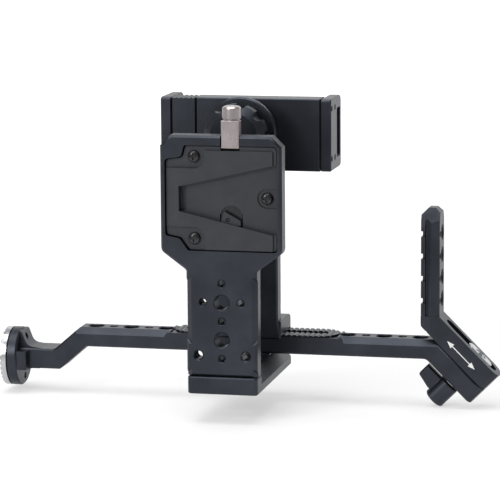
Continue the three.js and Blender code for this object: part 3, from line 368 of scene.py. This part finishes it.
def travel_mark():
    """A white double arrow printed on the leg's front face, along the way the bracket slides."""
    face_y, start, end = 16.25, Vector((110.1, 21.3)), Vector((125.1, 6.2))
    head_long, head_half, line_half = 4.0, 1.45, 0.25
    along = (end - start).normalized()
    across = Vector((-along.y, along.x))
    neck = [start + along * head_long, end - along * head_long]
    ring = [start, neck[0] + across * head_half, neck[0] + across * line_half, neck[1] + across * line_half,
            neck[1] + across * head_half, end, neck[1] - across * head_half, neck[1] - across * line_half,
            neck[0] - across * line_half, neck[0] - across * head_half]
    count = len(ring)
    points = [(p.x, y, p.y) for y in (face_y, face_y + INK_MM) for p in ring]
    faces = [tuple(range(count)), tuple(reversed(range(count, 2 * count)))]
    faces += [(i, i + count, (i + 1) % count + count, (i + 1) % count) for i in range(count)]
    # Screen-printed ink lies flat and slightly matt, with the mesh's weave too fine to see.
    ink = finish("screen_printed_white_ink", "e2e2e0", "f0f0ee", 0.0, 0.5, 0.05, 0.3, 0.002, patch_mm=3)
    mesh = bpy.data.meshes.new("travel_mark")
    mesh.from_pydata([Vector(point) * MM for point in points], [], faces)
    mesh.validate()
    mesh.materials.append(ink)
    mark = bpy.data.objects.new("travel_mark", mesh)
    bpy.context.scene.collection.objects.link(mark)
    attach(mark, "side_bracket")


class RIG_OT_studio(bpy.types.Operator):
    """Set the floor, the lights and the camera"""

    bl_idname = "rig.studio"
    bl_label = "Studio"

    def execute(self, context):
        studio = context.scene.rig_studio
        sweep(cad_box[0][2], studio)
        world = bpy.data.worlds.new("white_studio")
        world.use_nodes = True
        even_light = world.node_tree.nodes["Background"]
        even_light.inputs["Color"].default_value = linear("ffffff")
        even_light.inputs["Strength"].default_value = studio.sky
        context.scene.world = world
        soft_light("top_light", place=(-0.1, -0.1, 1.1), aim=(0, 0, 0.05), size=0.9,
                   power=studio.top_power)
        soft_light("front_light", place=(-0.5, -0.95, 0.62), aim=(0, 0, 0.08), size=0.45,
                   power=studio.front_power)
        set_camera(studio)
        context.scene.view_settings.view_transform = "Standard"
        return {"FINISHED"}


def lit_paper(studio):
    """Translucent paper lit from below: its glow is weak in front of the rig and full behind it."""
    reach = 1.5
    material = bpy.data.materials.new("backlit_matt_paper")
    material.use_nodes = True
    tree = material.node_tree
    tree.nodes.clear()
    place = add(tree, "ShaderNodeTexCoord").outputs["Object"]
    depth = add(tree, "ShaderNodeSeparateXYZ", {"Vector": place}).outputs["Y"]
    share = add(tree, "ShaderNodeMapRange", {"Value": depth, "From Min": -reach, "From Max": reach})
    glow = add(tree, "ShaderNodeValToRGB", {"Fac": share.outputs["Result"]})
    weak, full = studio.floor_glow, studio.wall_glow
    stops = ((0.15, 0.3 * weak), (0.38, weak), (0.62, weak), (0.9, full))
    while len(glow.color_ramp.elements) < len(stops):
        glow.color_ramp.elements.new(0.5)
    for element, (position, strength) in zip(glow.color_ramp.elements, stops):
        element.position = position
        element.color = (strength, strength, strength, 1)
    # Paper fibres a few millimetres long break the surface up a little.
    fibres = add(tree, "ShaderNodeTexNoise", {"Vector": place, "Scale": per_metre(3.0), "Detail": 2.0})
    bump = add(tree, "ShaderNodeBump", {"Height": fibres.outputs["Fac"], "Strength": 1.0,
                                        "Distance": 0.01 * MM})
    shader = add(tree, "ShaderNodeBsdfPrincipled", {
        "Base Color": linear(studio.floor_tone), "Roughness": 0.9, "Metallic": 0.0, "IOR": 1.45,
        "Emission Color": linear("ffffff"), "Emission Strength": glow.outputs["Color"],
        "Normal": bump.outputs["Normal"]})
    add(tree, "ShaderNodeOutputMaterial", {"Surface": shader.outputs["BSDF"]})
    return material


def sweep(height, studio):
    """A pale paper sweep: a floor that curves up far behind the rig."""
    half, near, far, radius, wall, steps = 6.0, -4.0, 3.0, 1.5, 5.0, 12
    line = [(near, height)]
    for i in range(steps + 1):
        turn = math.pi / 2 * i / steps
        line.append((far + radius * math.sin(turn), height + radius * (1 - math.cos(turn))))
    line.append((far + radius, height + wall))
    points = [(x, y, z) for y, z in line for x in (-half, half)]
    faces = [(2 * i, 2 * i + 1, 2 * i + 3, 2 * i + 2) for i in range(len(line) - 1)]
    mesh = bpy.data.meshes.new("paper_sweep")
    mesh.from_pydata(points, [], faces)
    for face in mesh.polygons:
        face.use_smooth = True
    floor = bpy.data.objects.new("paper_sweep", mesh)
    bpy.context.scene.collection.objects.link(floor)
    mesh.materials.append(lit_paper(studio))


def soft_light(name, place, aim, size, power):
    """A square softbox that looks at a point."""
    light = bpy.data.lights.new(name, "AREA")
    light.size = size
    light.energy = power
    lamp = bpy.data.objects.new(name, light)
    lamp.location = place
    lamp.rotation_euler = (Vector(aim) - Vector(place)).to_track_quat("-Z", "Y").to_euler()
    bpy.context.scene.collection.objects.link(lamp)


def set_camera(studio):
    """The camera, from its yaw, pitch and roll."""
    yaw, pitch, roll = studio.yaw, studio.pitch, studio.roll
    ahead = Vector((-math.sin(yaw) * math.cos(pitch), math.cos(yaw) * math.cos(pitch), -math.sin(pitch)))
    right = Vector((math.cos(yaw), math.sin(yaw), 0))
    up = right.cross(ahead)
    right, up = (math.cos(roll) * right + math.sin(roll) * up,
                 math.cos(roll) * up - math.sin(roll) * right)
    lens = bpy.data.cameras.new("studio_camera")
    lens.lens = studio.lens
    lens.sensor_width = SENSOR_MM
    lens.clip_end = CLIP_END
    camera = bpy.data.objects.new("studio_camera", lens)
    bpy.context.scene.collection.objects.link(camera)
    turn = Matrix((right, up, -ahead)).transposed().to_4x4()
    camera.matrix_world = Matrix.Translation(Vector(studio.place)) @ turn
    bpy.context.scene.camera = camera


class RIG_PT_panel(bpy.types.Panel):
    """Lists the rig's finishing steps"""

    bl_label = "Camera Rig"
    bl_space_type = "VIEW_3D"
    bl_region_type = "UI"
    bl_category = "Camera Rig"

    def draw(self, context):
        for settings in (context.scene.rig_finish, context.scene.rig_studio):
            for name in settings.bl_rna.properties.keys():
                if name not in {"rna_type", "name"}:
                    self.layout.prop(settings, name)
        for step in STEPS:
            self.layout.operator(step.bl_idname)


STEPS = (RIG_OT_base_and_bracket, RIG_OT_battery_plate, RIG_OT_crossbar, RIG_OT_post_and_wheel,
         RIG_OT_device_clamp, RIG_OT_side_bracket, RIG_OT_studio)
CLASSES = (RigFinish, RigStudio, *STEPS, RIG_PT_panel)


def register():
    for cls in CLASSES:
        bpy.utils.register_class(cls)
    bpy.types.Scene.rig_finish = bpy.props.PointerProperty(type=RigFinish)
    bpy.types.Scene.rig_studio = bpy.props.PointerProperty(type=RigStudio)


def unregister():
    del bpy.types.Scene.rig_studio
    del bpy.types.Scene.rig_finish
    for cls in reversed(CLASSES):
        bpy.utils.unregister_class(cls)


def main():
    register()
    for step in STEPS:
        group, action = step.bl_idname.split(".")
        if getattr(getattr(bpy.ops, group), action)() != {"FINISHED"}:
            raise RuntimeError(f"{step.bl_idname} did not finish")


if __name__ == "__main__":
    main()
